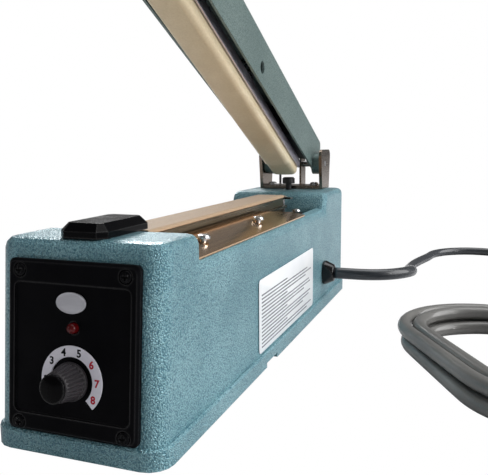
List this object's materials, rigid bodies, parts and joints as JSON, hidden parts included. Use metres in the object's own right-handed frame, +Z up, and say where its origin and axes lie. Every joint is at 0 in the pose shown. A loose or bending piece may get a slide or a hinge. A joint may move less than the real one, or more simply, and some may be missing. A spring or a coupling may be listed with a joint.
{
  "type": "impulse hand sealer",
  "caption": "Benchtop heat sealer: a cast body with a timer panel and a long heated seal bar under a sprung hinged arm with a padded pressure bar.",
  "frame": {"origin": "on the table, under the middle of the whole without its cord", "axes": "+Z up, the panel faces -Y, the arm's hinge is at the rear (+Y) and the cord leaves on +X"},
  "size_m": [0.3212, 0.5826, 0.2645],
  "materials": {
    "casting_paint": "hammertone enamel",
    "base_steel": "satin",
    "rubber": "matt",
    "panel_plastic": "gloss",
    "screw_chrome": "polished",
    "lamp_red": "clear gloss",
    "dial_print": "matt print",
    "badge": "satin",
    "pot_steel": "plated",
    "knob_plastic": "satin",
    "knob_cap": "gloss",
    "shaft_aluminium": "turned",
    "circuit_board": "solder mask",
    "cap_plastic": "semi-gloss",
    "bar_aluminium": "extruded",
    "ribbon": "bright",
    "ptfe_cloth": "coated glass cloth",
    "plate_stainless": "polished",
    "terminal_plastic": "matt",
    "clamp_steel": "plated",
    "bracket_chrome": "plated",
    "pin_steel": "plated",
    "spring_steel": "blackened",
    "core_steel": "varnished laminations",
    "winding": "wrapped",
    "switch_plastic": "matt",
    "label": "printed film",
    "arm_paint": "hammertone enamel",
    "handle_plastic": "semi-gloss",
    "block_plastic": "matt",
    "holder_steel": "satin",
    "silicone": "satin",
    "stud_steel": "plated",
    "plunger_plastic": "semi-gloss",
    "lever_steel": "spring strip",
    "cord_vinyl": "satin",
    "relief_rubber": "satin",
    "blade_brass": "plated"
  },
  "bodies": {
    "base": {"badge_plate": "badge", "base_plate": "base_steel", "body_casting": "casting_paint", "bracket_screw_1": "screw_chrome", "bracket_screw_2": "screw_chrome", "cloth_clamp": "clamp_steel", "control_panel": "panel_plastic", "cord_coil": "cord_vinyl", "cord_tie": "relief_rubber", "dial_scale": "dial_print", "front_cap": "cap_plastic", "ground_pin": "blade_brass", "heating_element": "ribbon", "hinge_bracket": "bracket_chrome", "hinge_pin": "pin_steel", "indicator_lens": "lamp_red", "micro_switch": "switch_plastic", "panel_screw_1": "screw_chrome", "panel_screw_2": "screw_chrome", "panel_screw_3": "screw_chrome", "panel_screw_4": "screw_chrome", "plate_screw_1": "screw_chrome", "plate_screw_2": "screw_chrome", "plate_screw_3": "screw_chrome", "plate_screw_4": "screw_chrome", "plug_blade_left": "blade_brass", "plug_blade_right": "blade_brass", "potentiometer": "pot_steel", "power_cord": "cord_vinyl", "power_plug": "relief_rubber", "ptfe_cover": "ptfe_cloth", "rating_label": "label", "return_spring": "spring_steel", "rubber_foot_1": "rubber", "rubber_foot_2": "rubber", "rubber_foot_3": "rubber", "rubber_foot_4": "rubber", "seal_bar": "bar_aluminium", "side_plate_left": "plate_stainless", "side_plate_right": "plate_stainless", "strain_relief": "relief_rubber", "terminal_block": "terminal_plastic", "terminal_screw": "screw_chrome", "timer_board": "circuit_board", "transformer_core": "core_steel", "transformer_winding": "winding"},
    "arm": {"arm_channel": "arm_paint", "arm_handle": "handle_plastic", "channel_block": "block_plastic", "pressure_spring_1": "spring_steel", "pressure_spring_2": "spring_steel"},
    "pressure_bar_body": {"pressure_bar": "holder_steel", "silicone_pad": "silicone", "guide_stud_1": "stud_steel", "guide_stud_2": "stud_steel"},
    "knob": {"timer_knob": "knob_plastic", "knob_cap": "knob_cap", "timer_shaft": "shaft_aluminium"},
    "plunger": {"switch_plunger": "plunger_plastic"},
    "lever": {"switch_lever": "lever_steel"}
  },
  "joints": [
    {"name": "arm_hinge", "type": "hinge", "parent": "base", "child": "arm", "pos_m": [0, 0.15597, 0.1105], "axis": [1, 0, 0], "range_deg": [0, 24.7], "stiffness_Nm_per_rad": 1.5, "springref_deg": -51.57},
    {"name": "pressure_bar_float", "type": "slide", "parent": "arm", "child": "pressure_bar_body", "axis": [0, 0.4179, 0.9085], "range_m": [0, 0.0025], "stiffness_N_per_m": 4000, "springref_m": -0.004, "deforming": ["pressure_spring_1", "pressure_spring_2"]},
    {"name": "timer_turn", "type": "hinge", "parent": "base", "child": "knob", "pos_m": [-0.00265, -0.1611, 0.0356], "axis": [0, -0.9957, 0.0924], "range_deg": [-136, 136]},
    {"name": "plunger_press", "type": "slide", "parent": "base", "child": "plunger", "axis": [0, 0, -1], "range_m": [0, 0.004], "stiffness_N_per_m": 300, "springref_m": -0.002},
    {"name": "lever_turn", "type": "hinge", "parent": "base", "child": "lever", "pos_m": [0, 0.15247, 0.0675], "axis": [1, 0, 0], "range_deg": [0, 17.1], "stiffness_Nm_per_rad": 0.05, "springref_deg": -5.73}
  ],
  "couplings": [
    {"joint": "plunger_press", "follows": "arm_hinge", "m_per_rad": 0.0092694},
    {"joint": "lever_turn", "follows": "arm_hinge", "ratio": 0.69173}
  ]
}
